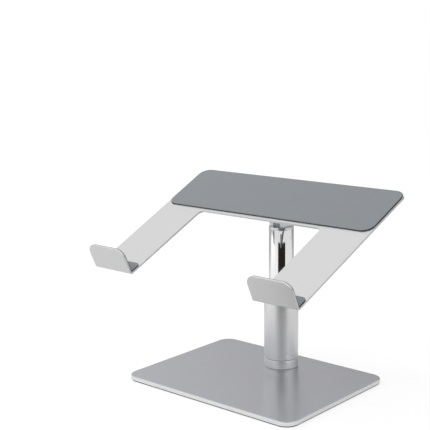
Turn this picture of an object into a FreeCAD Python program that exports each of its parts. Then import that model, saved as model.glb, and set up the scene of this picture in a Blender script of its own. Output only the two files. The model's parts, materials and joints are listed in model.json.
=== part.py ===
"""Laptop stand: a slanted aluminium tray on a round telescopic column that swivels on a flat base.

Frame: millimetres, +Z up, origin on the desk plane under the column's axis.
+X is the user's right, -Y is towards the user. The column stands in the rear half of the base.

The tray's pieces are drawn flat, in tray coordinates, and placed together:
local X is the width, local Y the distance up the slope from the outside corner of the bend,
local Z the height above the plate's underside.
"""
import FreeCAD, Part
import math
import os

from FreeCAD import Placement, Rotation, Vector

os.makedirs("parts", exist_ok=True)

# ---- clearances -------------------------------------------------------------------------------
FIT_GAP = 0.05          # radial gap of a pressed, glued or threaded piece in its seat
RUN_GAP = 0.06          # radial gap of a running or sliding fit
PAST = 1.0              # how far a cut runs past a face
SAME = 1e-6             # two places closer than this are one

# ---- base -------------------------------------------------------------------------------------
MAT_T = 1.4             # non-slip mat under the base
MAT_INSET = 1.0
BASE_W = 235.0          # X
BASE_D = 181.0          # Y
BASE_T = 4.6
BASE_R = 15.0           # corner radius
BASE_EDGE = 0.7         # rounded top edge
COLUMN_SETBACK = 50.3   # column axis behind the centre of the base
BASE_TOP = MAT_T + BASE_T

# ---- swivel foot --------------------------------------------------------------------------------
COLUMN_R = 20.0         # outer tube and the collar under it
COLUMN_WALL = 2.0
COLLAR_H = 10.3
COLLAR_EDGE = 0.5
THRUST_T = 0.6          # thrust washer, seen as a fine line above the collar
THRUST_INSET = 0.4
PLUG_H = 12.0           # foot plug in the bottom of the outer tube
SWIVEL_R = 5.0          # shoulder of the swivel bolt
SWIVEL_THREAD_R = 4.0
SWIVEL_THREAD_L = 9.0
SWIVEL_HEAD_R = 9.0
SWIVEL_HEAD_H = 4.0
SWIVEL_SOCKET = 6.0     # across the flats
SWIVEL_SOCKET_DEPTH = 2.4
FOOT_BUSH_WALL = 1.5
FOOT_BUSH_FLANGE_R = 10.0
FOOT_BUSH_FLANGE_T = 0.8
SPRING_R = 9.5          # disc spring under the swivel bolt's head
SPRING_T = 1.0
COLLAR_SCREWS = 4
COLLAR_SCREW_CIRCLE_R = 14.0
COLLAR_SCREW_DEPTH = 7.0
FOOT_SCREWS = 3         # grub screws that hold the outer tube on its foot plug
FOOT_SCREW_Z = 15.2     # above the base
FOOT_SCREW_ANGLE = -31.5  # of the first one, from +X
FOOT_SCREW_L = 7.0
FOOT_SCREW_SUNK = 0.1
FOOT_SCREW_SOCKET = 1.5   # across the flats
FOOT_SOCKET_DEPTH = 1.0

# ---- screws (M4 countersunk) ----------------------------------------------------------------------
SCREW_R = 2.0
SCREW_HEAD_R = 4.0
SCREW_HEAD_H = 2.2
SCREW_SOCKET = 2.5      # across the flats

# ---- telescopic column ------------------------------------------------------------------------------
OUTER_TOP = 100.0       # top of the outer tube above the base
TOP_BUSH_L = 14.0
TOP_BUSH_FLANGE_T = 1.5
TOP_BUSH_INSET = 0.4
INNER_R = 14.3          # polished inner tube
INNER_WALL = 2.0
INNER_BOTTOM = 58.0     # above the base, at rest
INNER_TOP = 164.0
SLIDE_BUSH_L = 16.0
SLIDE_BUSH_SLOT = 2.0
BAND_WALL = 0.8         # friction band in the slide bush
BAND_L = 8.0
BAND_SLOT = 3.0
END_PLUG_L = 12.0
END_PLUG_FLANGE_R = 16.5
END_PLUG_FLANGE_T = 2.5
END_PIN_R = 1.5
END_PIN_RISE = 5.0      # above the tube's bottom end
RING_DEPTH = 0.6        # retaining ring in its groove
RING_WIDTH = 1.2
RING_PROUD = 1.6
RING_SLOT = 5.0
BUMPER_ABOVE_HEAD = 1.8  # rubber ring around the swivel bolt's head
BUMPER_WALL = 6.0

# ---- tilt hinge ---------------------------------------------------------------------------------------
PIVOT_Z = 180.3         # hinge axis above the base
HINGE_DROP = 17.0       # hinge axis under the plate
HINGE_S = 167.0         # hinge axis up the slope
TILT = 24.72            # slope at rest, degrees
KNUCKLE_R = 9.0
TONGUE_W = 8.0
WASHER_T = 1.0
WASHER_R = 8.4
EAR_W = 5.4
FORK_SPIGOT_L = 18.0
FORK_COLLAR_H = 3.0
FORK_PIN_R = 2.0
BARREL_R = 4.0          # sleeve nut that is the hinge pin
BARREL_CLEAR = 0.8      # its end stops short of the ear's face
HINGE_HEAD_R = 6.0
HINGE_HEAD_H = 2.5
HINGE_HEAD_EDGE = 1.0   # rounded rim of the two heads
HINGE_BOLT_R = 2.5
HINGE_BOLT_L = 14.0
HINGE_SOCKET = 3.0      # across the flats
HINGE_SOCKET_DEPTH = 2.0
BRACKET_W = 56.0
BRACKET_L = 40.0
BRACKET_T = 4.0
BRACKET_R = 6.0
BRACKET_SCREW_X = 20.0
BRACKET_SCREW_Y = 13.0

# ---- tray -------------------------------------------------------------------------------------------------
TRAY_T = 2.2
TRAY_FRONT_HALF_W = 141.4
TRAY_REAR_HALF_W = 146.0
TRAY_L = 211.6          # from the bend to the rear edge
TRAY_REAR_R = 13.0
BEND_R = 3.2            # outside radius
LIP_H = 32.6
LIP_R = 11.0
CUT_HALF_W = 86.0       # open middle between the arms
CUT_L = 128.5
CUT_R = 6.0
PAD_T = 1.3
PAD_FRONT = 133.0
PAD_INSET = 1.1
PAD_FRONT_R = 12.0
HOOK_PAD_L = 17.8       # end of a hook pad up the arm
HOOK_PAD_INSET = 0.6
HOOK_PAD_R = 5.0
HOOK_PAD_INNER_R = 0.4  # in the corner of the bend


# ---- worked out ---------------------------------------------------------------------------------------------
COLUMN_BORE_R = COLUMN_R - COLUMN_WALL
INNER_BORE_R = INNER_R - INNER_WALL
FOOT_Z = COLLAR_H + THRUST_T
PLUG_TOP = FOOT_Z + PLUG_H
SPRING_Z = PLUG_TOP + FOOT_BUSH_FLANGE_T
SWIVEL_HEAD_Z = SPRING_Z + SPRING_T
BUMPER_TOP = SWIVEL_HEAD_Z + SWIVEL_HEAD_H + BUMPER_ABOVE_HEAD
TOP_BUSH_Z = OUTER_TOP - TOP_BUSH_L
SLIDE_BUSH_TOP = INNER_BOTTOM + SLIDE_BUSH_L
EAR_INNER = TONGUE_W / 2 + WASHER_T
EAR_OUTER = EAR_INNER + EAR_W
BEND_INNER_R = BEND_R - TRAY_T
PAD_REAR = TRAY_L - PAD_INSET


# ---- helpers --------------------------------------------------------------------------------------------------
def rod(radius, z0, z1, x=0.0, y=0.0):
    """Upright cylinder between two heights."""
    return Part.makeCylinder(radius, z1 - z0, Vector(x, y, z0))


def sleeve(outer, inner, z0, z1):
    """Upright tube between two heights."""
    return rod(outer, z0, z1).cut(rod(inner, z0, z1))


def rod_x(radius, x0, x1, y=0.0, z=0.0):
    """Cylinder along X."""
    return Part.makeCylinder(radius, x1 - x0, Vector(x0, y, z), Vector(1, 0, 0))


def block(x0, x1, y0, y1, z0, z1):
    """Box between two corners."""
    return Part.makeBox(x1 - x0, y1 - y0, z1 - z0, Vector(x0, y0, z0))


def hexagon(flats, z0, z1):
    """Upright hexagonal prism, for a socket."""
    corner = flats / 2 / math.cos(math.pi / 6)
    points = [Vector(corner * math.cos(i * math.pi / 3), corner * math.sin(i * math.pi / 3), z0) for i in range(7)]
    return Part.Face(Part.makePolygon(points)).extrude(Vector(0, 0, z1 - z0))


def rounded_sheet(x0, x1, y0, y1, z0, z1, front_r, rear_r):
    """Flat sheet with rounded upright corners; front is the low-Y side."""
    sheet = block(x0, x1, y0, y1, z0, z1)
    front = [e for e in upright_edges(sheet) if e.CenterOfMass.y < (y0 + y1) / 2]
    sheet = sheet.makeFillet(front_r, front)
    rear = [e for e in upright_edges(sheet) if e.CenterOfMass.y > (y0 + y1) / 2 and is_corner(e, x0, x1)]
    return sheet.makeFillet(rear_r, rear)


def upright_edges(shape):
    """Straight edges that run along Z."""
    found = []
    for edge in shape.Edges:
        if edge.Curve.TypeId == "Part::GeomLine":
            along = edge.Vertexes[1].Point.sub(edge.Vertexes[0].Point)
            if abs(abs(along.z) - along.Length) < SAME:
                found.append(edge)
    return found


def is_corner(edge, x0, x1):
    """True for an edge at either end of the width."""
    return min(abs(edge.CenterOfMass.x - x0), abs(edge.CenterOfMass.x - x1)) < SAME


def rim(shape, z):
    """All edges that lie flat at one height."""
    return [e for e in shape.Edges if abs(e.BoundBox.ZMin - z) < SAME and abs(e.BoundBox.ZMax - z) < SAME]


def turned(shape, angle):
    """A copy turned about the column's axis, in degrees."""
    copy = shape.copy()
    copy.rotate(Vector(0, 0, 0), Vector(0, 0, 1), angle)
    return copy


def countersunk_screw(length):
    """Screw with its head's flat face at z = 0, pointing down."""
    head = Part.makeCone(SCREW_R, SCREW_HEAD_R, SCREW_HEAD_H, Vector(0, 0, -SCREW_HEAD_H))
    shank = rod(SCREW_R, -length, -SCREW_HEAD_H)
    return head.fuse(shank).removeSplitter().cut(hexagon(SCREW_SOCKET, -SCREW_HEAD_H / 2, 0))


def countersink(length):
    """The hole for that screw."""
    gap = FIT_GAP
    cone = Part.makeCone(SCREW_R + gap, SCREW_HEAD_R + gap, SCREW_HEAD_H, Vector(0, 0, -SCREW_HEAD_H))
    return cone.fuse(rod(SCREW_R + gap, -length - gap, -SCREW_HEAD_H)).removeSplitter()


def on_base(shape):
    """Lift a piece drawn above the base's top surface into the frame."""
    return shape.translated(Vector(0, 0, BASE_TOP))


def tray_placement():
    """Where the flat tray coordinates lie, at rest."""
    tilt = math.radians(TILT)
    up_slope = Vector(0, math.cos(tilt), math.sin(tilt))
    normal = Vector(0, -math.sin(tilt), math.cos(tilt))
    pivot = Vector(0, 0, BASE_TOP + PIVOT_Z)
    corner = pivot.sub(up_slope.multiply(HINGE_S)).add(normal.multiply(HINGE_DROP))
    return Placement(corner, Rotation(Vector(1, 0, 0), TILT))


def on_tray(shape):
    """Place a piece drawn in tray coordinates."""
    copy = shape.copy()
    copy.Placement = tray_placement().multiply(copy.Placement)
    return copy


# ---- base pieces ---------------------------------------------------------------------------------------------
def collar_screw_spots():
    step = 2 * math.pi / COLLAR_SCREWS
    turns = [step * (i + 0.5) for i in range(COLLAR_SCREWS)]
    return [(COLLAR_SCREW_CIRCLE_R * math.cos(a), COLLAR_SCREW_CIRCLE_R * math.sin(a)) for a in turns]


def from_below(shape, x, y):
    """A screw or its hole, turned to point up from the underside of the base plate."""
    copy = shape.copy()
    copy.rotate(Vector(0, 0, 0), Vector(1, 0, 0), 180)
    copy.translate(Vector(x, y, -BASE_T))
    return copy


def base_plate():
    y0 = -COLUMN_SETBACK - BASE_D / 2
    plate = rounded_sheet(-BASE_W / 2, BASE_W / 2, y0, y0 + BASE_D, -BASE_T, 0, BASE_R, BASE_R)
    plate = plate.makeFillet(BASE_EDGE, rim(plate, 0))
    for x, y in collar_screw_spots():
        plate = plate.cut(from_below(countersink(BASE_T + COLLAR_SCREW_DEPTH), x, y))
    return plate


def base_mat():
    y0 = -COLUMN_SETBACK - BASE_D / 2 + MAT_INSET
    y1 = -COLUMN_SETBACK + BASE_D / 2 - MAT_INSET
    half = BASE_W / 2 - MAT_INSET
    radius = BASE_R - MAT_INSET
    return rounded_sheet(-half, half, y0, y1, -BASE_T - MAT_T, -BASE_T, radius, radius)


def base_collar():
    collar = rod(COLUMN_R, 0, COLLAR_H)
    collar = collar.makeFillet(COLLAR_EDGE, rim(collar, COLLAR_H))
    collar = collar.cut(rod(SWIVEL_THREAD_R + FIT_GAP, COLLAR_H - SWIVEL_THREAD_L - FIT_GAP, COLLAR_H))
    for x, y in collar_screw_spots():
        collar = collar.cut(from_below(countersink(BASE_T + COLLAR_SCREW_DEPTH), x, y))
    return collar


def collar_screws():
    screw = countersunk_screw(BASE_T + COLLAR_SCREW_DEPTH)
    return Part.makeCompound([from_below(screw, x, y) for x, y in collar_screw_spots()])


def swivel_washer():
    return sleeve(COLUMN_R - THRUST_INSET, SWIVEL_R + RUN_GAP, COLLAR_H, FOOT_Z)


def swivel_spring():
    return sleeve(SPRING_R, SWIVEL_R + RUN_GAP, SPRING_Z, SWIVEL_HEAD_Z)


def swivel_bolt():
    thread = rod(SWIVEL_THREAD_R, COLLAR_H - SWIVEL_THREAD_L, COLLAR_H)
    shoulder = rod(SWIVEL_R, COLLAR_H, SWIVEL_HEAD_Z)
    top = SWIVEL_HEAD_Z + SWIVEL_HEAD_H
    head = rod(SWIVEL_HEAD_R, SWIVEL_HEAD_Z, top)
    bolt = thread.fuse([shoulder, head]).removeSplitter()
    return bolt.cut(hexagon(SWIVEL_SOCKET, top - SWIVEL_SOCKET_DEPTH, top))


# ---- column pieces --------------------------------------------------------------------------------------------
def foot_screw_angles():
    return [FOOT_SCREW_ANGLE + 360 / FOOT_SCREWS * i for i in range(FOOT_SCREWS)]


def foot_screw_holes():
    inner = COLUMN_R - FOOT_SCREW_SUNK - FOOT_SCREW_L - FIT_GAP
    hole = rod_x(SCREW_R + FIT_GAP, inner, COLUMN_R + PAST, 0, FOOT_SCREW_Z)
    return [turned(hole, angle) for angle in foot_screw_angles()]


def outer_tube():
    tube = sleeve(COLUMN_R, COLUMN_BORE_R, FOOT_Z, OUTER_TOP)
    return tube.cut(foot_screw_holes())


def foot_plug():
    plug = rod(COLUMN_BORE_R - FIT_GAP, FOOT_Z, PLUG_TOP)
    plug = plug.cut(rod(SWIVEL_R + RUN_GAP + FOOT_BUSH_WALL + FIT_GAP, FOOT_Z, PLUG_TOP))
    return plug.cut(foot_screw_holes())


def foot_bush():
    outer = SWIVEL_R + RUN_GAP + FOOT_BUSH_WALL
    body = rod(outer, FOOT_Z, PLUG_TOP)
    flange = rod(FOOT_BUSH_FLANGE_R, PLUG_TOP, SPRING_Z)
    return body.fuse(flange).removeSplitter().cut(rod(SWIVEL_R + RUN_GAP, FOOT_Z, SPRING_Z))


def foot_screws():
    outer = COLUMN_R - FOOT_SCREW_SUNK
    screw = rod(SCREW_R, 0, FOOT_SCREW_L)
    socket = hexagon(FOOT_SCREW_SOCKET, FOOT_SCREW_L - FOOT_SOCKET_DEPTH, FOOT_SCREW_L)
    screw = screw.cut(socket)
    screw.rotate(Vector(0, 0, 0), Vector(0, 1, 0), 90)
    screw.translate(Vector(outer - FOOT_SCREW_L, 0, FOOT_SCREW_Z))
    return Part.makeCompound([turned(screw, angle) for angle in foot_screw_angles()])


def top_bush():
    spigot = rod(COLUMN_BORE_R - FIT_GAP, TOP_BUSH_Z, OUTER_TOP)
    top = OUTER_TOP + TOP_BUSH_FLANGE_T
    flange = rod(COLUMN_R - TOP_BUSH_INSET, OUTER_TOP, top)
    flange = flange.makeFillet(TOP_BUSH_FLANGE_T / 2, rim(flange, top))
    return spigot.fuse(flange).removeSplitter().cut(rod(INNER_R + RUN_GAP, TOP_BUSH_Z, top))


def stop_bumper():
    outer = COLUMN_BORE_R - FIT_GAP
    return sleeve(outer, outer - BUMPER_WALL, PLUG_TOP, BUMPER_TOP)


# ---- mast pieces ------------------------------------------------------------------------------------------------
def cross_hole(radius, z):
    """Hole along X right through the inner tube."""
    return rod_x(radius + FIT_GAP, -INNER_R - PAST, INNER_R + PAST, 0, z)


def ring_groove():
    return sleeve(INNER_R + PAST, INNER_R - RING_DEPTH, SLIDE_BUSH_TOP, SLIDE_BUSH_TOP + RING_WIDTH)


def inner_tube():
    tube = sleeve(INNER_R, INNER_BORE_R, INNER_BOTTOM, INNER_TOP)
    tube = tube.cut(ring_groove())
    tube = tube.cut(cross_hole(END_PIN_R, INNER_BOTTOM + END_PIN_RISE))
    return tube.cut(cross_hole(FORK_PIN_R, INNER_TOP - FORK_SPIGOT_L / 2))


def slide_bush():
    bush = sleeve(COLUMN_BORE_R - RUN_GAP, INNER_R + FIT_GAP, INNER_BOTTOM, SLIDE_BUSH_TOP)
    middle = (INNER_BOTTOM + SLIDE_BUSH_TOP) / 2
    half = BAND_L / 2 + FIT_GAP
    bush = bush.cut(rod(INNER_R + 3 * FIT_GAP + BAND_WALL, middle - half, middle + half))
    half_slot = SLIDE_BUSH_SLOT / 2
    return bush.cut(block(-half_slot, half_slot, 0, COLUMN_R, INNER_BOTTOM, SLIDE_BUSH_TOP))


def friction_band():
    middle = (INNER_BOTTOM + SLIDE_BUSH_TOP) / 2
    inner = INNER_R + FIT_GAP
    band = sleeve(inner + BAND_WALL, inner, middle - BAND_L / 2, middle + BAND_L / 2)
    return band.cut(block(-BAND_SLOT / 2, BAND_SLOT / 2, -COLUMN_R, 0, INNER_BOTTOM, SLIDE_BUSH_TOP))


def retaining_ring():
    ring = sleeve(INNER_R + RING_PROUD, INNER_R - RING_DEPTH + FIT_GAP, SLIDE_BUSH_TOP + FIT_GAP,
                  SLIDE_BUSH_TOP + RING_WIDTH - FIT_GAP)
    return ring.cut(block(-RING_SLOT / 2, RING_SLOT / 2, 0, COLUMN_R, SLIDE_BUSH_TOP, SLIDE_BUSH_TOP + RING_WIDTH))


def end_plug():
    spigot = rod(INNER_BORE_R - FIT_GAP, INNER_BOTTOM, INNER_BOTTOM + END_PLUG_L)
    flange = rod(END_PLUG_FLANGE_R, INNER_BOTTOM - END_PLUG_FLANGE_T, INNER_BOTTOM)
    plug = spigot.fuse(flange).removeSplitter()
    return plug.cut(cross_hole(END_PIN_R, INNER_BOTTOM + END_PIN_RISE))


def end_pin():
    return rod_x(END_PIN_R, -INNER_R, INNER_R, 0, INNER_BOTTOM + END_PIN_RISE)


def hinge_fork():
    collar_top = INNER_TOP + FORK_COLLAR_H
    spigot = rod(INNER_BORE_R - FIT_GAP, INNER_TOP - FORK_SPIGOT_L, INNER_TOP)
    collar = rod(INNER_R, INNER_TOP, collar_top)
    ear = block(EAR_INNER, EAR_OUTER, -KNUCKLE_R, KNUCKLE_R, collar_top, PIVOT_Z)
    ear = ear.fuse(rod_x(KNUCKLE_R, EAR_INNER, EAR_OUTER, 0, PIVOT_Z))
    other = ear.mirror(Vector(0, 0, 0), Vector(1, 0, 0))
    fork = spigot.fuse([collar, ear, other]).removeSplitter()
    fork = fork.cut(rod_x(BARREL_R + FIT_GAP, -EAR_OUTER, EAR_OUTER, 0, PIVOT_Z))
    return fork.cut(cross_hole(FORK_PIN_R, INNER_TOP - FORK_SPIGOT_L / 2))


def fork_pin():
    return rod_x(FORK_PIN_R, -INNER_R + FIT_GAP, INNER_R - FIT_GAP, 0, INNER_TOP - FORK_SPIGOT_L / 2)


def hinge_barrel():
    shank = rod_x(BARREL_R, -EAR_OUTER + BARREL_CLEAR, EAR_OUTER, 0, PIVOT_Z)
    head = rod_x(HINGE_HEAD_R, EAR_OUTER, EAR_OUTER + HINGE_HEAD_H, 0, PIVOT_Z)
    outer_rim = [e for e in head.Edges if abs(e.CenterOfMass.x - EAR_OUTER - HINGE_HEAD_H) < SAME]
    head = head.makeFillet(HINGE_HEAD_EDGE, outer_rim)
    barrel = shank.fuse(head).removeSplitter()
    return barrel.cut(rod_x(HINGE_BOLT_R + FIT_GAP, -EAR_OUTER, -EAR_OUTER + HINGE_BOLT_L + PAST, 0, PIVOT_Z))


def hinge_bolt():
    shank = rod_x(HINGE_BOLT_R, -EAR_OUTER, -EAR_OUTER + HINGE_BOLT_L, 0, PIVOT_Z)
    head = rod_x(HINGE_HEAD_R, -EAR_OUTER - HINGE_HEAD_H, -EAR_OUTER, 0, PIVOT_Z)
    outer_rim = [e for e in head.Edges if abs(e.CenterOfMass.x + EAR_OUTER + HINGE_HEAD_H) < SAME]
    head = head.makeFillet(HINGE_HEAD_EDGE, outer_rim)
    socket = hexagon(HINGE_SOCKET, 0, HINGE_SOCKET_DEPTH)
    socket.rotate(Vector(0, 0, 0), Vector(0, 1, 0), 90)
    socket.translate(Vector(-EAR_OUTER - HINGE_HEAD_H, 0, PIVOT_Z))
    return shank.fuse(head).removeSplitter().cut(socket)


def hinge_washers():
    washers = []
    for x0 in (TONGUE_W / 2, -EAR_INNER):
        ring = rod_x(WASHER_R, x0, x0 + WASHER_T, 0, PIVOT_Z)
        washers.append(ring.cut(rod_x(BARREL_R + RUN_GAP, x0, x0 + WASHER_T, 0, PIVOT_Z)))
    return Part.makeCompound(washers)


# ---- tray pieces, drawn in tray coordinates ------------------------------------------------------------------------
def bent_strip(x0, x1, outer_r, inner_r, front, thickness, length, height):
    """Strip that lies flat, bends up through a right angle at its front and stands up to a height.

    The inner radius has its own centre, so that a strip thicker than its outer radius still has a rounded corner.

    front is the local Y of the outer face of the upright leg; the flat leg's outer face is at the same local Z.
    """
    half = math.sqrt(0.5)
    centre = front + outer_r
    inner_centre = front + thickness + inner_r
    a = Vector(x0, length, front)
    b = Vector(x0, centre, front)
    c = Vector(x0, centre - outer_r * half, centre - outer_r * half)
    d = Vector(x0, front, centre)
    e = Vector(x0, front, height)
    f = Vector(x0, front + thickness, height)
    g = Vector(x0, front + thickness, inner_centre)
    h = Vector(x0, inner_centre - inner_r * half, inner_centre - inner_r * half)
    i = Vector(x0, inner_centre, front + thickness)
    j = Vector(x0, length, front + thickness)
    edges = [Part.makeLine(a, b), Part.Arc(b, c, d).toShape(), Part.makeLine(d, e), Part.makeLine(e, f),
             Part.makeLine(f, g), Part.Arc(g, h, i).toShape(), Part.makeLine(i, j), Part.makeLine(j, a)]
    return Part.Face(Part.Wire(edges)).extrude(Vector(x1 - x0, 0, 0))


def edge_x(y):
    """Outer edge of the tray at a distance up the slope: straight, and a little wider at the rear."""
    share = (y - BEND_R) / (TRAY_L - BEND_R)
    return TRAY_FRONT_HALF_W + (TRAY_REAR_HALF_W - TRAY_FRONT_HALF_W) * share


def slab(points, z0, z1):
    """Flat sheet with a polygonal outline."""
    corners = [Vector(x, y, z0) for x, y in points]
    return Part.Face(Part.makePolygon(corners + corners[:1])).extrude(Vector(0, 0, z1 - z0))


def edges_at(shape, x, y):
    """Upright edges at one place in plan."""
    return [e for e in upright_edges(shape) if math.hypot(e.CenterOfMass.x - x, e.CenterOfMass.y - y) < SAME]


def lip_outline(inset, y0, y1):
    """Prism that trims the right-hand lip to its rounded outline; inset shrinks the outline."""
    prism = block(CUT_HALF_W + inset, TRAY_FRONT_HALF_W - inset, y0, y1, -PAST, LIP_H - inset)
    middle = (y0 + y1) / 2
    top = LIP_H - inset
    corners = [e for e in prism.Edges if abs(e.CenterOfMass.z - top) < SAME and abs(e.CenterOfMass.y - middle) < SAME]
    return prism.makeFillet(LIP_R - inset, corners)


def arm_outline(height):
    """Right-hand half of the flat part of the tray."""
    rear = (TRAY_REAR_HALF_W, TRAY_L)
    outline = slab([(0, BEND_R), (TRAY_FRONT_HALF_W, BEND_R), rear, (0, TRAY_L)], -PAST, height)
    return outline.makeFillet(TRAY_REAR_R, edges_at(outline, *rear))


def bracket_screw_spots():
    return [(sx * BRACKET_SCREW_X, HINGE_S + sy * BRACKET_SCREW_Y) for sx in (-1, 1) for sy in (-1, 1)]


def screw_in_tray(shape, x, y):
    return shape.translated(Vector(x, y, TRAY_T))


def tray_half():
    """Right-hand half of the tray: flat arm and rear plate, bend and lip."""
    strip = bent_strip(0, TRAY_REAR_HALF_W, BEND_R, BEND_INNER_R, 0, TRAY_T, TRAY_L, LIP_H)
    flat = strip.common(arm_outline(TRAY_T))
    lip = strip.common(block(0, TRAY_REAR_HALF_W, 0, BEND_R, 0, LIP_H)).common(lip_outline(0, -PAST, BEND_R + PAST))
    opening = rounded_sheet(-CUT_HALF_W, CUT_HALF_W, -CUT_L, CUT_L, -PAST, TRAY_T + PAST, CUT_R, CUT_R)
    return flat.cut(opening).fuse(lip).removeSplitter()


def tray_plate():
    right = tray_half()
    left = right.mirror(Vector(0, 0, 0), Vector(1, 0, 0))
    plate = right.fuse(left).removeSplitter()
    for x, y in bracket_screw_spots():
        plate = plate.cut(screw_in_tray(countersink(TRAY_T + BRACKET_T), x, y))
    return plate


def hinge_bracket():
    x0 = BRACKET_W / 2
    y0 = HINGE_S - BRACKET_L / 2
    flange = rounded_sheet(-x0, x0, y0, y0 + BRACKET_L, -BRACKET_T, 0, BRACKET_R, BRACKET_R)
    half = TONGUE_W / 2
    tongue = block(-half, half, HINGE_S - KNUCKLE_R, HINGE_S + KNUCKLE_R, -HINGE_DROP, -BRACKET_T)
    tongue = tongue.fuse(rod_x(KNUCKLE_R, -half, half, HINGE_S, -HINGE_DROP))
    bracket = flange.fuse(tongue).removeSplitter()
    bracket = bracket.cut(rod_x(BARREL_R + RUN_GAP, -half, half, HINGE_S, -HINGE_DROP))
    for x, y in bracket_screw_spots():
        bracket = bracket.cut(screw_in_tray(countersink(TRAY_T + BRACKET_T), x, y))
    return bracket


def bracket_screws():
    screw = countersunk_screw(TRAY_T + BRACKET_T)
    return Part.makeCompound([screw_in_tray(screw, x, y) for x, y in bracket_screw_spots()])


def rear_pad():
    top = TRAY_T + PAD_T
    front = edge_x(PAD_FRONT) - PAD_INSET
    rear = edge_x(PAD_REAR) - PAD_INSET
    outline = [(-front, PAD_FRONT), (front, PAD_FRONT), (rear, PAD_REAR), (-rear, PAD_REAR)]
    pad = slab(outline, TRAY_T, top)
    pad = pad.makeFillet(PAD_FRONT_R, edges_at(pad, -front, PAD_FRONT) + edges_at(pad, front, PAD_FRONT))
    pad = pad.makeFillet(TRAY_REAR_R - PAD_INSET, edges_at(pad, -rear, PAD_REAR) + edges_at(pad, rear, PAD_REAR))
    return pad.makeFillet(PAD_T / 3, rim(pad, top))


def right_hook_pad():
    """Soft strip on the floor of the hook, bent up the inside of the lip."""
    inner = CUT_HALF_W + HOOK_PAD_INSET
    outer = TRAY_FRONT_HALF_W - HOOK_PAD_INSET
    strip = bent_strip(inner, outer, BEND_INNER_R, HOOK_PAD_INNER_R, TRAY_T, PAD_T, HOOK_PAD_L, LIP_H)
    floor = rounded_sheet(inner, outer, -HOOK_PAD_L, HOOK_PAD_L, 0, LIP_H, HOOK_PAD_R, HOOK_PAD_R)
    return strip.common(floor).common(lip_outline(HOOK_PAD_INSET, -PAST, HOOK_PAD_L + PAST))


def left_hook_pad():
    return right_hook_pad().mirror(Vector(0, 0, 0), Vector(1, 0, 0))


# ---- build ------------------------------------------------------------------------------------------------------------
STANDING = [base_plate, base_mat, base_collar, collar_screws, swivel_washer, swivel_spring, swivel_bolt,
            outer_tube, foot_plug, foot_bush, foot_screws, top_bush, stop_bumper,
            inner_tube, slide_bush, friction_band, retaining_ring, end_plug, end_pin,
            hinge_fork, fork_pin, hinge_barrel, hinge_bolt, hinge_washers]
TILTED = [tray_plate, hinge_bracket, bracket_screws, rear_pad, left_hook_pad, right_hook_pad]

for make in STANDING:
    on_base(make()).exportStep("parts/" + make.__name__ + ".step")
for make in TILTED:
    on_tray(make()).exportStep("parts/" + make.__name__ + ".step")

print("slide range mm", round(BUMPER_TOP - (INNER_BOTTOM - END_PLUG_FLANGE_T), 2), "to",
      round(TOP_BUSH_Z - SLIDE_BUSH_TOP - RING_WIDTH, 2))
print("tray corner", tray_placement().Base, "pivot z", BASE_TOP + PIVOT_Z)
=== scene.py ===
"""Finishes, rounded edges and soft pads of a telescopic laptop stand, laid out as an add-on."""

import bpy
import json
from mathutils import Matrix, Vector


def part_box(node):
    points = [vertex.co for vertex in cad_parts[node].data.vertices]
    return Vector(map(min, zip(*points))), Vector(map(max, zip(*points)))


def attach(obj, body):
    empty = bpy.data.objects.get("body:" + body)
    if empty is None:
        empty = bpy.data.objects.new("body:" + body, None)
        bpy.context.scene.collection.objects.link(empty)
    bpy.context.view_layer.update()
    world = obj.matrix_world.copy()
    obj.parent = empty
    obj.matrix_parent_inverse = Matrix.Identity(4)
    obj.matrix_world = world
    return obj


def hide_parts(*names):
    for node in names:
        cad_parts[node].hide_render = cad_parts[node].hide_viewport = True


bl_info = {
    "name": "Laptop Stand",
    "version": (1, 0, 0),
    "blender": (4, 5, 0),
    "location": "View3D > Sidebar > Laptop Stand",
    "description": "Finishes, rounded edges and soft pads of a telescopic laptop stand",
    "category": "Object",
}

import json
import math

import bmesh
import bpy
from bpy.props import FloatProperty, FloatVectorProperty, IntProperty, PointerProperty
from mathutils import Matrix, Vector

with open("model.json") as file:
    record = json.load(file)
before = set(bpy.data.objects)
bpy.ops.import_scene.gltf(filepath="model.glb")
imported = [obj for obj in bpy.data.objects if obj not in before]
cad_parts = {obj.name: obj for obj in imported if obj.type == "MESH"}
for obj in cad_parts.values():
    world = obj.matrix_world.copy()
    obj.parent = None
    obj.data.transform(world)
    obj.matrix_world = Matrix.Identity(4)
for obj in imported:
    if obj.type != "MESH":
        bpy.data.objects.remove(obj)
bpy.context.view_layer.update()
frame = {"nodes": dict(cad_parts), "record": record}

MM = 0.001
MAT_CORNER = 14 * MM
COLLAR_FOOT = 0.55 * MM
MAT_BORDER = 6 * MM
GROOVE_PITCH = 3 * MM
GROOVE_DEPTH = 0.4 * MM
CORNER_STEPS = 10
SLOT_COLOURS = {m["slot"]: tuple(m["base_color"][:3]) for m in frame["record"]["materials"]}
NODE_SLOTS = {p["node"]: p["material_slot"] for p in frame["record"]["subparts"]}
MOUNTS = {m["name"]: m for m in frame["record"]["mounts"]}


# ---- measures read from the frame -------------------------------------------------------------------

TRAY_NORMAL = Vector(MOUNTS["laptop_rest"]["axis"]).normalized()
UP_SLOPE = Vector((0, TRAY_NORMAL.z, -TRAY_NORMAL.y))


def size_of(node):
    """Lowest and highest corner of a CAD node as vectors."""
    low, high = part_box(node)
    return Vector(low), Vector(high)


# ---- what a user may change ---------------------------------------------------------------------------

def colour_property(name, description, slot):
    return FloatVectorProperty(name=name, description=description, subtype="COLOR", size=3, min=0.0, max=1.0,
                               default=SLOT_COLOURS[slot])


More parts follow.
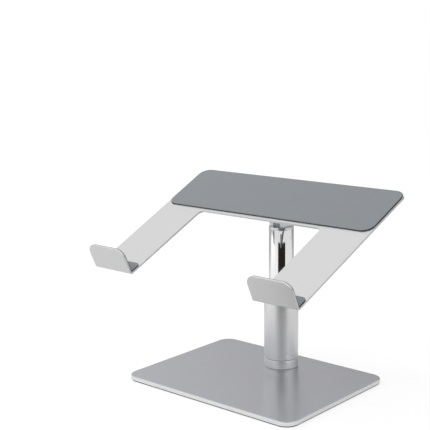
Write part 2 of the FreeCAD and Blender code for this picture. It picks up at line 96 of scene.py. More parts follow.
class StandFinishes(bpy.types.PropertyGroup):
    """Colours and gloss of the visible materials."""
    tray_colour: colour_property("Tray", "Blasted aluminium of the tray", "pearl_aluminium")
    base_colour: colour_property("Base", "Satin aluminium of the base plate", "satin_aluminium")
    tube_colour: colour_property("Outer tube", "Anodised outer tube and collar", "satin_aluminium_tube")
    pad_colour: colour_property("Pads", "Silicone of the rear pad and hook pads", "grey_silicone")
    tray_roughness: FloatProperty(name="Tray roughness", description="Gloss of the tray", default=0.36, min=0, max=1)
    base_roughness: FloatProperty(name="Base roughness", description="Gloss of the base", default=0.25, min=0, max=1)
    tube_roughness: FloatProperty(name="Tube roughness", description="Gloss of the tube", default=0.41, min=0, max=1)
    grain: FloatProperty(name="Blast grain", description="Pits per metre of the blasted surfaces", default=3800.0,
                         min=500.0, max=9000.0)


class StandEdges(bpy.types.PropertyGroup):
    """How far sharp edges are rounded, and how finely."""
    plate: FloatProperty(name="Plate edges", description="Rounding of sheet and plate edges", default=0.35 * MM,
                         unit="LENGTH", precision=5)
    machined: FloatProperty(name="Machined edges", description="Rounding of machined edges", default=0.3 * MM,
                            unit="LENGTH", precision=5)
    pad: FloatProperty(name="Pad edges", description="Rounding of the pads' upper edges", default=0.45 * MM,
                       unit="LENGTH", precision=5)
    segments: IntProperty(name="Segments", description="Segments of each rounded edge", default=3, min=1, max=8)
    turned_steps: IntProperty(name="Turned steps", description="Steps round a turned piece", default=128, min=24,
                              max=256)


class StandStage(bpy.types.PropertyGroup):
    """Camera, floor and light."""
    lens: FloatProperty(name="Lens", description="Focal length", default=84.57, unit="CAMERA")
    camera_place: FloatVectorProperty(name="Camera", description="Where the camera stands", size=3,
                                      default=(0.69192, -0.90991, 0.4016), subtype="TRANSLATION", unit="LENGTH")
    yaw: FloatProperty(name="Yaw", description="Camera's turn to the left", default=math.radians(41.08),
                       subtype="ANGLE")
    pitch: FloatProperty(name="Pitch", description="Camera's tilt down", default=math.radians(10.69),
                         subtype="ANGLE")
    roll: FloatProperty(name="Roll", description="Camera's roll", default=math.radians(-0.584), subtype="ANGLE")
    horizon: FloatProperty(name="Horizon", description="Brightness of the studio at eye level, in front", default=0.98)
    ceiling: FloatProperty(name="Ceiling", description="Brightness of the studio overhead", default=1.12)
    floor: FloatProperty(name="Floor", description="Whiteness of the floor", default=0.77, min=0, max=1)


def settings():
    return bpy.context.scene.laptop_stand


class StandSettings(bpy.types.PropertyGroup):
    """Everything together."""
    finishes: PointerProperty(type=StandFinishes)
    edges: PointerProperty(type=StandEdges)
    stage: PointerProperty(type=StandStage)


# ---- materials ------------------------------------------------------------------------------------------

class Finish:
    """A material being built: its tree, its shader and short ways to add nodes."""

    def __init__(self, name, colour, metallic=0.0, roughness=0.5):
        self.material = bpy.data.materials.new(name)
        self.material.use_nodes = True
        self.tree = self.material.node_tree
        self.shader = self.tree.nodes["Principled BSDF"]
        self.shader.inputs["Base Color"].default_value = (*colour, 1.0)
        self.shader.inputs["Metallic"].default_value = metallic
        self.shader.inputs["Roughness"].default_value = roughness
        self.material.diffuse_color = (*colour, 1.0)
        self.coords = self.node("ShaderNodeTexCoord").outputs["Object"]
        self.colour = tuple(colour)
        self.roughness = roughness

    def node(self, kind, **values):
        """Add a node; values are its inputs by name, or else its properties."""
        made = self.tree.nodes.new(kind)
        for key, value in values.items():
            name = key.replace("_", " ").title()
            if name in made.inputs:
                made.inputs[name].default_value = value
            else:
                setattr(made, key, value)
        return made

    def link(self, output, socket):
        self.tree.links.new(output, socket)

    def along(self, scale, turn=(0.0, 0.0, 0.0)):
        """Object coordinates turned and scaled by a different amount along each axis."""
        mapping = self.node("ShaderNodeMapping", scale=scale, rotation=turn)
        self.link(self.coords, mapping.inputs["Vector"])
        return mapping.outputs["Vector"]

    def noise(self, scale, detail=2.0, vector=None):
        """Noise with features of about 1 / scale metres."""
        texture = self.node("ShaderNodeTexNoise", scale=scale, detail=detail)
        self.link(vector or self.coords, texture.inputs["Vector"])
        return texture.outputs["Fac"]

    def ranged(self, value, low, high, start=0.3, end=0.7):
        """Map a value from start..end to low..high."""
        mapped = self.node("ShaderNodeMapRange", from_min=start, from_max=end, to_min=low, to_max=high)
        self.link(value, mapped.inputs["Value"])
        return mapped.outputs["Result"]

    def mixed(self, share, first, second):
        """A colour between two colours, each a tuple or an output."""
        mix = self.node("ShaderNodeMix", data_type="RGBA")
        self.link(share, mix.inputs[0])
        ends = [socket for socket in mix.inputs if socket.type == "RGBA"]
        for socket, end in zip(ends, (first, second)):
            if isinstance(end, tuple):
                socket.default_value = (*end, 1.0)
            else:
                self.link(end, socket)
        return [socket for socket in mix.outputs if socket.type == "RGBA"][0]

    def vary_roughness(self, value, spread):
        """Let the roughness wander by a spread either side of its value."""
        wander = self.ranged(value, self.roughness - spread, self.roughness + spread)
        self.link(wander, self.shader.inputs["Roughness"])

    def vary_colour(self, value, darker):
        """Let the colour wander down to a share of itself."""
        shade = tuple(channel * darker for channel in self.colour)
        varied = self.mixed(self.ranged(value, 0.0, 1.0), shade, self.colour)
        self.link(varied, self.shader.inputs["Base Color"])
        return varied

    def bump(self, value, height, strength):
        """Raise the surface by up to a height, in metres."""
        bump = self.node("ShaderNodeBump", strength=strength, distance=height)
        self.link(value, bump.inputs["Height"])
        self.link(bump.outputs["Normal"], self.shader.inputs["Normal"])


def blasted_aluminium(name, colour, roughness):
    """Bead-blasted and clear anodised: a very fine even grain with faint cloudiness."""
    grain = settings().finishes.grain
    finish = Finish(name, colour, metallic=1.0, roughness=roughness)
    finish.vary_roughness(finish.noise(25.0, 3.0), 0.008)
    finish.vary_colour(finish.noise(grain * 0.6, 1.0), 0.96)
    finish.bump(finish.noise(grain, 1.0), 0.002 * MM, 0.06)
    return finish.material


def cut_edge(name, colour, roughness):
    """Bright-cut edge of a blasted plate: fine lines along the cut."""
    finish = Finish(name, colour, metallic=1.0, roughness=roughness)
    lines = finish.noise(1.0, 1.0, finish.along((40.0, 40.0, 3000.0)))
    finish.vary_roughness(lines, 0.04)
    finish.vary_colour(finish.noise(300.0, 2.0), 0.97)
    return finish.material


def drawn_aluminium(name, colour, roughness):
    """Drawn tube, satin anodised: a fine grain over faint lines along its length."""
    finish = Finish(name, colour, metallic=1.0, roughness=roughness)
    finish.vary_roughness(finish.noise(1.0, 2.0, finish.along((500.0, 500.0, 12.0))), 0.01)
    finish.vary_colour(finish.noise(2600.0, 1.0), 0.97)
    finish.bump(finish.noise(3400.0, 1.0), 0.002 * MM, 0.06)
    return finish.material


def polished_chrome(name, colour, roughness):
    """Mirror plating with the faintest haze."""
    finish = Finish(name, colour, metallic=1.0, roughness=roughness)
    finish.vary_roughness(finish.noise(60.0, 3.0), 0.012)
    return finish.material


def turned_metal(name, colour, roughness):
    """Machined metal: fine tool marks."""
    finish = Finish(name, colour, metallic=1.0, roughness=roughness)
    marks = finish.along((150.0, 150.0, 2400.0))
    finish.vary_roughness(finish.noise(1.0, 1.0, marks), 0.05)
    finish.vary_colour(finish.noise(600.0, 2.0), 0.93)
    finish.bump(finish.noise(1.0, 1.0, marks), 0.004 * MM, 0.3)
    return finish.material


def silicone(name, colour, roughness):
    """Matt silicone sheet with a powdery fine grain."""
    finish = Finish(name, colour, roughness=roughness)
    finish.shader.inputs["Specular IOR Level"].default_value = 0.35
    finish.shader.inputs["Sheen Weight"].default_value = 0.1
    finish.shader.inputs["Sheen Roughness"].default_value = 0.6
    finish.vary_roughness(finish.noise(90.0, 3.0), 0.04)
    finish.vary_colour(finish.noise(3200.0, 2.0), 0.93)
    finish.bump(finish.noise(2600.0, 2.0), 0.02 * MM, 0.5)
    return finish.material


def moulded(name, colour, roughness):
    """Moulded polymer or rubber with a fine spark-eroded grain."""
    finish = Finish(name, colour, roughness=roughness)
    finish.vary_roughness(finish.noise(150.0, 2.0), 0.05)
    finish.vary_colour(finish.noise(800.0, 2.0), 0.92)
    finish.bump(finish.noise(3000.0, 1.0), 0.01 * MM, 0.4)
    return finish.material


FINISHES = {
    "satin_aluminium": (blasted_aluminium, "base"),
    "satin_aluminium_tube": (drawn_aluminium, "tube"),
    "pearl_aluminium": (blasted_aluminium, "tray"),
    "plain_aluminium": (turned_metal, 0.30),
    "polished_chrome": (polished_chrome, 0.045),
    "bright_steel": (turned_metal, 0.14),
    "zinc_steel": (turned_metal, 0.30),
    "spring_steel": (turned_metal, 0.35),
    "grey_silicone": (silicone, 0.68),
    "black_rubber": (moulded, 0.75),
    "dark_polymer": (moulded, 0.55),
    "grey_polymer": (moulded, 0.50),
    "white_polymer": (moulded, 0.45),
}
# pad_wall is painted shade: the pads' side walls get a near-black colour because they receive less light than the lit
# tops. bright_edge is the bright-cut edge of the base plate.
EDGE_COLOURS = {"bright_edge": (0.90, 0.90, 0.91), "pad_wall": (0.055, 0.06, 0.065)}
MADE = {}


def material_for(slot):
    """The one material of a slot, made when it is first asked for."""
    if slot in MADE:
        return MADE[slot]
    chosen = settings().finishes
    own = {"satin_aluminium": chosen.base_colour, "satin_aluminium_tube": chosen.tube_colour,
           "pearl_aluminium": chosen.tray_colour, "grey_silicone": chosen.pad_colour}
    if slot == "bright_edge":
        MADE[slot] = cut_edge(slot, EDGE_COLOURS[slot], 0.22)
    elif slot == "pad_wall":
        # painted shade: the pads' side walls get a near-black copy of the moulded rubber finish
        MADE[slot] = moulded(slot, EDGE_COLOURS[slot], 0.7)
    else:
        make, roughness = FINISHES[slot]
        if isinstance(roughness, str):
            roughness = getattr(chosen, roughness + "_roughness")
        MADE[slot] = make(slot + "_finish", tuple(own.get(slot, SLOT_COLOURS[slot])), roughness)
    return MADE[slot]


def paint_node(node):
    """Give a CAD node that stays its finish."""
    obj = frame["nodes"][node]
    material = material_for(NODE_SLOTS[node])
    if not obj.material_slots:
        obj.data.materials.append(material)
    for place in obj.material_slots:
        place.material = material


# ---- making pieces ------------------------------------------------------------------------------------------

def piece_from(bm, name, body, node, extra=()):
    """Turn a bmesh, already in place, into a piece that stands for a CAD node."""
    mesh = bpy.data.meshes.new(name)
    bm.to_mesh(mesh)
    bm.free()
    obj = bpy.data.objects.new(name, mesh)
    bpy.context.scene.collection.objects.link(obj)
    mesh.materials.append(material_for(NODE_SLOTS[node]))
    for slot in extra:
        mesh.materials.append(material_for(slot))
    for polygon in mesh.polygons:
        polygon.use_smooth = True
    mesh.set_sharp_from_angle(angle=math.radians(35))
    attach(obj, body)
    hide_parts(node)
    return obj


def flat_shading(obj):
    """Keep big flat faces flat beside their rounded edges."""
    weighted = obj.modifiers.new("flat faces", "WEIGHTED_NORMAL")
    weighted.keep_sharp = True
    weighted.weight = 80


def merged_copy(node):
    """A CAD node's mesh with its doubles merged and its flat faces whole."""
    bm = bmesh.new()
    bm.from_mesh(frame["nodes"][node].data)
    bmesh.ops.remove_doubles(bm, verts=bm.verts, dist=0.001 * MM)
    bmesh.ops.dissolve_limit(bm, angle_limit=math.radians(0.4), verts=bm.verts, edges=bm.edges)
    return bm


def round_edges(bm, width, segments, least=math.radians(50)):
    """Round every edge sharper than an angle."""
    sharp = [e for e in bm.edges if len(e.link_faces) == 2 and e.calc_face_angle(0.0) > least]
    bmesh.ops.bevel(bm, geom=sharp, offset=width, offset_type="OFFSET", affect="EDGES", segments=segments,
                    profile=0.5, material=-1, clamp_overlap=True)


def turned(profile, steps):
    """Spin a closed profile of (radius, height) points, in metres, round the column's axis."""
    bm = bmesh.new()
    verts = [bm.verts.new((radius, 0.0, height)) for radius, height in profile]
    edges = [bm.edges.new((a, b)) for a, b in zip(verts, verts[1:] + verts[:1])]
    bmesh.ops.spin(bm, geom=verts + edges, axis=(0, 0, 1), cent=(0, 0, 0), angle=math.tau, steps=steps,
                   use_merge=True)
    bmesh.ops.remove_doubles(bm, verts=bm.verts, dist=0.001 * MM)
    bmesh.ops.recalc_face_normals(bm, faces=bm.faces)
    return bm


def softened(points, width, segments=3):
    """A closed profile with each corner rounded by a few points."""
    rounded = []
    count = len(points)
    for i, corner in enumerate(points):
        here = Vector(corner)
        before = (Vector(points[i - 1]) - here)
        after = (Vector(points[(i + 1) % count]) - here)
        reach = min(width, before.length / 2.2, after.length / 2.2)
        start = here + before.normalized() * reach
        end = here + after.normalized() * reach
        for step in range(segments + 1):
            share = step / segments
            a = start.lerp(here, share)
            b = here.lerp(end, share)
            rounded.append(tuple(a.lerp(b, share)))
    return rounded


def ring_profile(outer, inner, low, high, width):
    """Profile of a plain ring with rounded corners."""
    return softened([(inner, low), (outer, low), (outer, high), (inner, high)], width)


# ---- base ---------------------------------------------------------------------------------------------------------

class STAND_OT_base(bpy.types.Operator):
    """Base plate with its bright-cut edge, collar, mat and the swivel's pieces"""
    bl_idname = "stand.base"
    bl_label = "Base"

    def execute(self, context):
        bm = merged_copy("base_plate")
        low, high = size_of("base_plate")
        wall = [f for f in bm.faces if abs(f.normal.z) < 0.3]
        for face in wall:
            centre = face.calc_center_median()
            if abs(centre.z - (low.z + high.z) / 2) < (high.z - low.z) / 2 and self.outside(centre, low, high):
                face.material_index = 1
        plate = piece_from(bm, "base_plate_finished", "base", "base_plate", extra=("bright_edge",))
        flat_shading(plate)
        bm = merged_copy("base_collar")
        floor = size_of("base_collar")[0].z
        foot = [e for e in bm.edges if all(is_rim(v, floor) for v in e.verts)]
        bmesh.ops.bevel(bm, geom=foot, offset=COLLAR_FOOT, offset_type="OFFSET", affect="EDGES", segments=2,
                        profile=0.5, material=-1, clamp_overlap=True)
        piece_from(bm, "base_collar_finished", "base", "base_collar")
        self.mat()
        for node in ("collar_screws", "swivel_washer", "swivel_spring", "swivel_bolt"):
            paint_node(node)
        return {"FINISHED"}

    @staticmethod
    def outside(point, low, high):
        """True near the plate's outline, so not in a screw hole."""
        margin = 16 * MM
        return (min(point.x - low.x, high.x - point.x) < margin
                or min(point.y - low.y, high.y - point.y) < margin)

    @staticmethod
    def mat():
        """Rubber sheet with shallow grooves across its underside."""
        low, high = size_of("base_mat")
        corner = MAT_CORNER
        bm = rounded_plan(low, high, corner)
        under = min(bm.faces, key=lambda face: face.calc_center_median().z)
        bmesh.ops.inset_region(bm, faces=[under], thickness=MAT_BORDER, use_even_offset=True)
        count = int((high.x - low.x - 2 * MAT_BORDER) / GROOVE_PITCH)
        first = (low.x + high.x - count * GROOVE_PITCH) / 2
        for i in range(count + 1):
            place = (first + i * GROOVE_PITCH, 0, 0)
            strips = [f for f in bm.faces if f.normal.z < -0.99 and in_field(f, low, high)]
            edges = {e for f in strips for e in f.edges}
            verts = {v for f in strips for v in f.verts}
            bmesh.ops.bisect_plane(bm, geom=strips + list(edges) + list(verts), plane_co=place,
                                   plane_no=(1, 0, 0), dist=0.001 * MM)
        strips = [f for f in bm.faces if f.normal.z < -0.99 and in_field(f, low, high)]
        strips.sort(key=lambda face: face.calc_center_median().x)
        bmesh.ops.inset_individual(bm, faces=strips[1::2], thickness=0.1 * MM, depth=-GROOVE_DEPTH)
        piece_from(bm, "base_mat_finished", "base", "base_mat")


def is_rim(vertex, height):
    """True for a vertex on the collar's lower outer rim."""
    radius = math.hypot(vertex.co.x, vertex.co.y)
    outer = size_of("base_collar")[1].x
    return abs(vertex.co.z - height) < 0.01 * MM and abs(radius - outer) < 0.01 * MM


def in_field(face, low, high):
    """True for a face inside the mat's plain border."""
    margin = MAT_BORDER * 0.9
    return all(low.x + margin < v.co.x < high.x - margin and low.y + margin < v.co.y < high.y - margin
               for v in face.verts)


def rounded_plan(low, high, radius):
    """Flat box between two corners with its upright edges rounded."""
    bm = bmesh.new()
    bmesh.ops.create_cube(bm, size=1.0)
    bmesh.ops.scale(bm, vec=high - low, verts=bm.verts)
    bmesh.ops.translate(bm, vec=(low + high) / 2, verts=bm.verts)
    upright = [e for e in bm.edges if abs((e.verts[0].co - e.verts[1].co).normalized().z) > 0.999]
    bmesh.ops.bevel(bm, geom=upright, offset=radius, offset_type="OFFSET", affect="EDGES", segments=CORNER_STEPS,
                    profile=0.5, material=-1)
    return bm


# ---- column ---------------------------------------------------------------------------------------------------------

class STAND_OT_column(bpy.types.Operator):
    """Outer tube, guide bush in its mouth and the foot inside it"""
    bl_idname = "stand.column"
    bl_label = "Column"

    def execute(self, context):
        edges = context.scene.laptop_stand.edges
        self.outer_tube(edges)
        self.top_bush(edges)
        screws = merged_copy("foot_screws")
        round_edges(screws, edges.machined, 2)
        piece_from(screws, "foot_screws_finished", "column", "foot_screws")
        for node in ("foot_plug", "foot_bush", "stop_bumper"):
            paint_node(node)
        return {"FINISHED"}

    @staticmethod
    def outer_tube(edges):
        low, high = size_of("outer_tube")
        wall = 2.0 * MM
        bm = turned(ring_profile(high.x, high.x - wall, low.z, high.z, edges.machined), edges.turned_steps)
        tube = piece_from(bm, "outer_tube_finished", "column", "outer_tube")
        cutter = screw_hole_cutter()
        holes = tube.modifiers.new("screw holes", "BOOLEAN")
        holes.operation = "DIFFERENCE"
        holes.solver = "EXACT"
        holes.object = cutter
        apply_modifiers(tube)
        bpy.data.objects.remove(cutter)
        tube.data.set_sharp_from_angle(angle=math.radians(35))

    @staticmethod
    def top_bush(edges):
        low, high = size_of("top_bush")
        tube_low, tube_high = size_of("outer_tube")
        mast = size_of("inner_tube")[1].x + 0.06 * MM
        spigot = tube_high.x - 2.05 * MM
        points = [(mast, low.z), (spigot, low.z), (spigot, tube_high.z), (high.x, tube_high.z), (high.x, high.z),
                  (mast, high.z)]
        bm = turned(softened(points, 0.6 * MM), edges.turned_steps)
        piece_from(bm, "top_bush_finished", "column", "top_bush")


def screw_hole_cutter():
    """Three short rods through the tube's wall, one round each grub screw."""
    screws = frame["nodes"]["foot_screws"].data
    centres = {}
    for vertex in screws.vertices:
        turn = math.atan2(vertex.co.y, vertex.co.x)
        key = round((turn - FIRST_SCREW) / (math.tau / 3)) % 3
        centres.setdefault(key, []).append(vertex.co.z)
    height = sum(sum(z) for z in centres.values()) / sum(len(z) for z in centres.values())
    bm = bmesh.new()
    for key in range(3):
        turn = FIRST_SCREW + key * math.tau / 3
        place = Matrix.Rotation(turn, 4, "Z") @ Matrix.Translation((0.020, 0, height)) @ Matrix.Rotation(math.pi / 2, 4, "Y")
        bmesh.ops.create_cone(bm, cap_ends=True, segments=32, radius1=2.05 * MM, radius2=2.05 * MM, depth=8 * MM,
                              matrix=place)
    mesh = bpy.data.meshes.new("screw_hole_cutter")
    bm.to_mesh(mesh)
    bm.free()
    cutter = bpy.data.objects.new("screw_hole_cutter", mesh)
    bpy.context.scene.collection.objects.link(cutter)
    return cutter


FIRST_SCREW = math.radians(-31.5)


def apply_modifiers(obj):
    """Work an object's modifiers into its mesh."""
    bpy.context.view_layer.update()
    evaluated = obj.evaluated_get(bpy.context.evaluated_depsgraph_get())
    mesh = bpy.data.meshes.new_from_object(evaluated)
    obj.modifiers.clear()
    obj.data = mesh


# ---- mast -------------------------------------------------------------------------------------------------------------

class STAND_OT_mast(bpy.types.Operator):
    """Polished inner tube with its guide inside, and the fork and pin of the tilt hinge"""
    bl_idname = "stand.mast"
    bl_label = "Mast"

    def execute(self, context):
        edges = context.scene.laptop_stand.edges
        low, high = size_of("inner_tube")
        bm = turned(ring_profile(high.x, high.x - 2.0 * MM, low.z, high.z, 0.25 * MM), edges.turned_steps)
        piece_from(bm, "inner_tube_finished", "mast", "inner_tube")
        fork = merged_copy("hinge_fork")
        round_edges(fork, edges.machined, 2)
        flat_shading(piece_from(fork, "hinge_fork_finished", "mast", "hinge_fork"))
        for node in ("slide_bush", "friction_band", "retaining_ring", "end_plug", "end_pin", "fork_pin",
                     "hinge_barrel", "hinge_bolt", "hinge_washers"):
            paint_node(node)
        return {"FINISHED"}


# ---- tray -------------------------------------------------------------------------------------------------------------

class STAND_OT_tray(bpy.types.Operator):
    """Bent sheet tray with rounded edges, its hinge bracket and screws"""
    bl_idname = "stand.tray"
    bl_label = "Tray"

    def execute(self, context):
        edges = context.scene.laptop_stand.edges
        sheet = merged_copy("tray_plate")
        round_edges(sheet, edges.plate, edges.segments)
        flat_shading(piece_from(sheet, "tray_plate_finished", "tray", "tray_plate"))
        bracket = merged_copy("hinge_bracket")
        round_edges(bracket, edges.machined, 2)
        flat_shading(piece_from(bracket, "hinge_bracket_finished", "tray", "hinge_bracket"))
        paint_node("bracket_screws")
        return {"FINISHED"}


# ---- pads ----------------------------------------------------------------------------------------------------------------

class STAND_OT_pads(bpy.types.Operator):
    """Silicone pads on the rear of the tray and in the two hooks"""
    bl_idname = "stand.pads"
    bl_label = "Pads"

    def execute(self, context):
        edges = context.scene.laptop_stand.edges
        for node, name in (("rear_pad", "rear_pad_finished"), ("left_hook_pad", "left_hook_pad_finished"),
                           ("right_hook_pad", "right_hook_pad_finished")):
            bm = merged_copy(node)
            # painted shade on the pad's side walls
            self.mark_walls(bm)
            round_edges(bm, edges.pad, edges.segments)
            flat_shading(piece_from(bm, name, "tray", node, extra=("pad_wall",)))
        return {"FINISHED"}


    @staticmethod
    def mark_walls(bm):
        """Give the side walls and narrow edge strips of a pad the darker material: painted shade, standing in for the
        lesser light on the walls beside the lit top.
        """
        for face in bm.faces:
            across = abs(face.normal.x)
            square = max(abs(face.normal.dot(TRAY_NORMAL)), abs(face.normal.dot(UP_SLOPE)))
            xs = [v.co.x for v in face.verts]
            strip = face.calc_area() / max(max(xs) - min(xs), MM) < 1.4 * MM
            if across > 0.05 or (square > 0.999 and strip):
                face.material_index = 1


# ---- stage -------------------------------------------------------------------------------------------------------------------

class STAND_OT_stage(bpy.types.Operator):
    """White floor, studio light, a dark flag that only reflections see, and the camera"""
    bl_idname = "stand.stage"
    bl_label = "Stage"

    def execute(self, context):
        stage = context.scene.laptop_stand.stage
        context.scene.view_settings.view_transform = "Standard"
        self.floor(stage)
        self.world(context.scene, stage)
        self.flag()
        self.camera(context.scene, stage)
        self.lamp("top_softbox", (-0.5, -0.6, 1.5), (0.0, -0.05, 0.1), (1.2, 0.9), 3.0)
        self.lamp("left_softbox", (-1.35, -0.75, 0.7), (-1.05, -0.60, 0.0), (0.6, 0.5), 6.0)
        return {"FINISHED"}

    @staticmethod
    def floor(stage):
        """Matt white floor that the camera sees nearly shadowless; to all other rays its colour is painted darker
        farther beyond the stand, a painted shade for the reflections.
        """
        bpy.ops.mesh.primitive_plane_add(size=40.0)
        floor = bpy.context.object
        floor.name = "floor"
        material = bpy.data.materials.new("floor_white")
        material.use_nodes = True
        tree = material.node_tree
        shader = tree.nodes["Principled BSDF"]
        shader.inputs["Roughness"].default_value = 1.0
        shader.inputs["Specular IOR Level"].default_value = 0.0
        glow = tree.nodes.new("ShaderNodeEmission")
        share = tree.nodes.new("ShaderNodeMath")
        share.operation = "MULTIPLY"
        share.inputs[1].default_value = 0.7
        path = tree.nodes.new("ShaderNodeLightPath")
        coords = tree.nodes.new("ShaderNodeTexCoord")
        depth = tree.nodes.new("ShaderNodeVectorMath")
        depth.operation = "DOT_PRODUCT"
        depth.inputs[1].default_value = (-math.sin(stage.yaw), math.cos(stage.yaw), 0.0)
        # painted shade: except to camera rays, the floor's colour fades from the floor setting near the stand to 0.34
        # between 0.1 m and 0.62 m along the camera's line of sight, so reflections see a dimmer floor there
        painted_floor_fade = tree.nodes.new("ShaderNodeMapRange")
        painted_floor_fade.interpolation_type = "SMOOTHSTEP"
        for name, value in (("From Min", 0.1), ("From Max", 0.62), ("To Min", stage.floor), ("To Max", 0.34)):
            painted_floor_fade.inputs[name].default_value = value
        tone = tree.nodes.new("ShaderNodeMath")
        tone.operation = "MAXIMUM"
        tree.links.new(coords.outputs["Object"], depth.inputs[0])
        tree.links.new(depth.outputs["Value"], painted_floor_fade.inputs["Value"])
        tree.links.new(painted_floor_fade.outputs["Result"], tone.inputs[0])
        tree.links.new(path.outputs["Is Camera Ray"], tone.inputs[1])
        tree.links.new(tone.outputs[0], shader.inputs["Base Color"])
        mix = tree.nodes.new("ShaderNodeMixShader")
        tree.links.new(path.outputs["Is Camera Ray"], share.inputs[0])
        tree.links.new(share.outputs[0], mix.inputs[0])
        tree.links.new(shader.outputs[0], mix.inputs[1])
        tree.links.new(glow.outputs[0], mix.inputs[2])
        tree.links.new(mix.outputs[0], tree.nodes["Material Output"].inputs["Surface"])
        floor.data.materials.append(material)

    @staticmethod
    def world(scene, stage):
        """Studio that is white to the camera, and greyer at eye level than overhead to everything else."""
        world = bpy.data.worlds.new("studio")
        scene.world = world
        world.use_nodes = True
        tree = world.node_tree
        coords = tree.nodes.new("ShaderNodeTexCoord")
        split = tree.nodes.new("ShaderNodeSeparateXYZ")
        ramp = tree.nodes.new("ShaderNodeMapRange")
        ramp.interpolation_type = "SMOOTHSTEP"
        ramp.inputs["From Min"].default_value = 0.30
        ramp.inputs["From Max"].default_value = 0.68
        side = tree.nodes.new("ShaderNodeVectorMath")
        side.operation = "DOT_PRODUCT"
        side.inputs[1].default_value = (-math.cos(stage.yaw), -math.sin(stage.yaw), 0.0)
        level = tree.nodes.new("ShaderNodeMapRange")
        for name, value in (("From Min", -0.35), ("From Max", 0.35), ("To Min", 0.27), ("To Max", 0.86)):
            level.inputs[name].default_value = value
        tree.links.new(coords.outputs["Generated"], side.inputs[0])
        tree.links.new(side.outputs["Value"], level.inputs["Value"])
        ahead = tree.nodes.new("ShaderNodeVectorMath")
        ahead.operation = "DOT_PRODUCT"
        ahead.inputs[1].default_value = (math.sin(stage.yaw), -math.cos(stage.yaw), 0.0)
        front = tree.nodes.new("ShaderNodeMapRange")
        for name, value in (("From Min", -0.3), ("From Max", 0.6), ("To Max", stage.horizon)):
            front.inputs[name].default_value = value
        tree.links.new(coords.outputs["Generated"], ahead.inputs[0])
        tree.links.new(ahead.outputs["Value"], front.inputs["Value"])
        tree.links.new(level.outputs["Result"], front.inputs["To Min"])
        gap = tree.nodes.new("ShaderNodeMapRange")
        gap.interpolation_type = "SMOOTHSTEP"
        for name, value in (("From Min", 0.72), ("From Max", 0.96), ("To Min", 0.0), ("To Max", 0.75)):
            gap.inputs[name].default_value = value
        dimmed = tree.nodes.new("ShaderNodeMath")
        dimmed.operation = "SUBTRACT"
        tree.links.new(ahead.outputs["Value"], gap.inputs["Value"])
        tree.links.new(front.outputs["Result"], dimmed.inputs[0])
        tree.links.new(gap.outputs["Result"], dimmed.inputs[1])
        tree.links.new(dimmed.outputs[0], ramp.inputs["To Min"])
        ramp.inputs["To Max"].default_value = stage.ceiling
        path = tree.nodes.new("ShaderNodeLightPath")
        mix = tree.nodes.new("ShaderNodeMix")
        tree.links.new(coords.outputs["Generated"], split.inputs[0])
        tree.links.new(split.outputs["Z"], ramp.inputs["Value"])
        tree.links.new(path.outputs["Is Camera Ray"], mix.inputs[0])
        tree.links.new(ramp.outputs["Result"], mix.inputs[2])
        mix.inputs[3].default_value = 1.0
        tree.links.new(mix.outputs[0], tree.nodes["Background"].inputs["Strength"])
        tree.nodes["Background"].inputs["Color"].default_value = (1, 1, 1, 1)

    @staticmethod
    def flag():
        """Dark fan on the floor in front, seen by reflections only."""
        bm = bmesh.new()
        start, end = 0.24, 2.2
        middle, half = math.radians(40.5), math.radians(33)
        steps = 16
        turns = [middle - half + 2 * half * i / steps for i in range(steps + 1)]
        inner = [bm.verts.new((start * math.sin(a), -start * math.cos(a), 0.001)) for a in turns]
        rim = [bm.edges.new(pair) for pair in zip(inner, inner[1:])]
        out = bmesh.ops.extrude_edge_only(bm, edges=rim)["geom"]
        moved = [g for g in out if isinstance(g, bmesh.types.BMVert)]
        bmesh.ops.scale(bm, vec=(end / start, end / start, 1.0), verts=moved)
        mesh = bpy.data.meshes.new("dark_flag")
        bm.to_mesh(mesh)
        bm.free()
        flag = bpy.data.objects.new("dark_flag", mesh)
        bpy.context.scene.collection.objects.link(flag)
        material = bpy.data.materials.new("flag_black")
        material.use_nodes = True
        shader = material.node_tree.nodes["Principled BSDF"]
        tree = material.node_tree
        coords = tree.nodes.new("ShaderNodeTexCoord")
        reach = tree.nodes.new("ShaderNodeVectorMath")
        reach.operation = "LENGTH"
        fade = tree.nodes.new("ShaderNodeMapRange")
        fade.data_type = "FLOAT_VECTOR"
        for name, value in (("From Min", (0.40, 0.40, 0.40)), ("From Max", (0.68, 0.68, 0.68)),
                            ("To Min", (0.06, 0.055, 0.05)), ("To Max", (0.02, 0.016, 0.014))):
            [i for i in fade.inputs if i.name == name and i.type == "VECTOR"][0].default_value = value
        tree.links.new(coords.outputs["Object"], reach.inputs[0])
        tree.links.new(reach.outputs["Value"], [i for i in fade.inputs if i.name == "Vector"][0])
        tree.links.new(fade.outputs["Vector"], shader.inputs["Base Color"])
        shader.inputs["Roughness"].default_value = 1.0
        shader.inputs["Specular IOR Level"].default_value = 0.0
        mesh.materials.append(material)
        flag.visible_camera = False
        flag.visible_diffuse = False
        flag.visible_transmission = False
        flag.visible_shadow = False

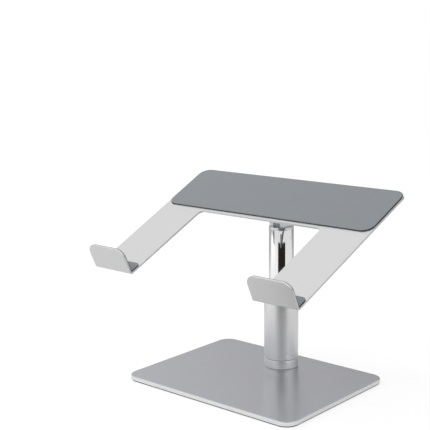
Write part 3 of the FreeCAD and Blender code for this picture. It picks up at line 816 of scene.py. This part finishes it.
    @staticmethod
    def camera(scene, stage):
        yaw, pitch, roll = stage.yaw, stage.pitch, stage.roll
        forward = Vector((-math.sin(yaw) * math.cos(pitch), math.cos(yaw) * math.cos(pitch), -math.sin(pitch)))
        level = Vector((math.cos(yaw), math.sin(yaw), 0))
        upright = level.cross(forward)
        right = level * math.cos(roll) + upright * math.sin(roll)
        up = upright * math.cos(roll) - level * math.sin(roll)
        data = bpy.data.cameras.new("camera")
        data.lens = stage.lens
        data.sensor_width = 36.0
        camera = bpy.data.objects.new("camera", data)
        scene.collection.objects.link(camera)
        place = Matrix((right, up, -forward)).transposed().to_4x4()
        place.translation = Vector(stage.camera_place)
        camera.matrix_world = place
        scene.camera = camera

    @staticmethod
    def lamp(name, place, target, size, watts):
        """Rectangular softbox at a place, aimed at a target."""
        light = bpy.data.lights.new(name, "AREA")
        light.shape = "RECTANGLE"
        light.size, light.size_y = size
        light.energy = watts
        lamp = bpy.data.objects.new(name, light)
        bpy.context.scene.collection.objects.link(lamp)
        lamp.visible_glossy = False
        lamp.location = place
        lamp.rotation_euler = (Vector(target) - Vector(place)).to_track_quat("-Z", "Y").to_euler()


# ---- panel and registration --------------------------------------------------------------------------------------------------

OPERATORS = (STAND_OT_base, STAND_OT_column, STAND_OT_mast, STAND_OT_tray, STAND_OT_pads, STAND_OT_stage)


class STAND_PT_sidebar(bpy.types.Panel):
    """Buttons and settings of the laptop stand"""
    bl_idname = "STAND_PT_sidebar"
    bl_label = "Laptop Stand"
    bl_space_type = "VIEW_3D"
    bl_region_type = "UI"
    bl_category = "Laptop Stand"

    def draw(self, context):
        stand = context.scene.laptop_stand
        for operator in OPERATORS:
            self.layout.operator(operator.bl_idname)
        for group in (stand.finishes, stand.edges, stand.stage):
            box = self.layout.box()
            for name in group.bl_rna.properties.keys():
                if name not in ("rna_type", "name"):
                    box.prop(group, name)


CLASSES = (StandFinishes, StandEdges, StandStage, StandSettings) + OPERATORS + (STAND_PT_sidebar,)


def register():
    for cls in CLASSES:
        bpy.utils.register_class(cls)
    bpy.types.Scene.laptop_stand = PointerProperty(type=StandSettings)


def unregister():
    del bpy.types.Scene.laptop_stand
    for cls in reversed(CLASSES):
        bpy.utils.unregister_class(cls)


def main():
    register()
    bpy.ops.stand.base()
    bpy.ops.stand.column()
    bpy.ops.stand.mast()
    bpy.ops.stand.tray()
    bpy.ops.stand.pads()
    bpy.ops.stand.stage()


if __name__ == "__main__":
    main()
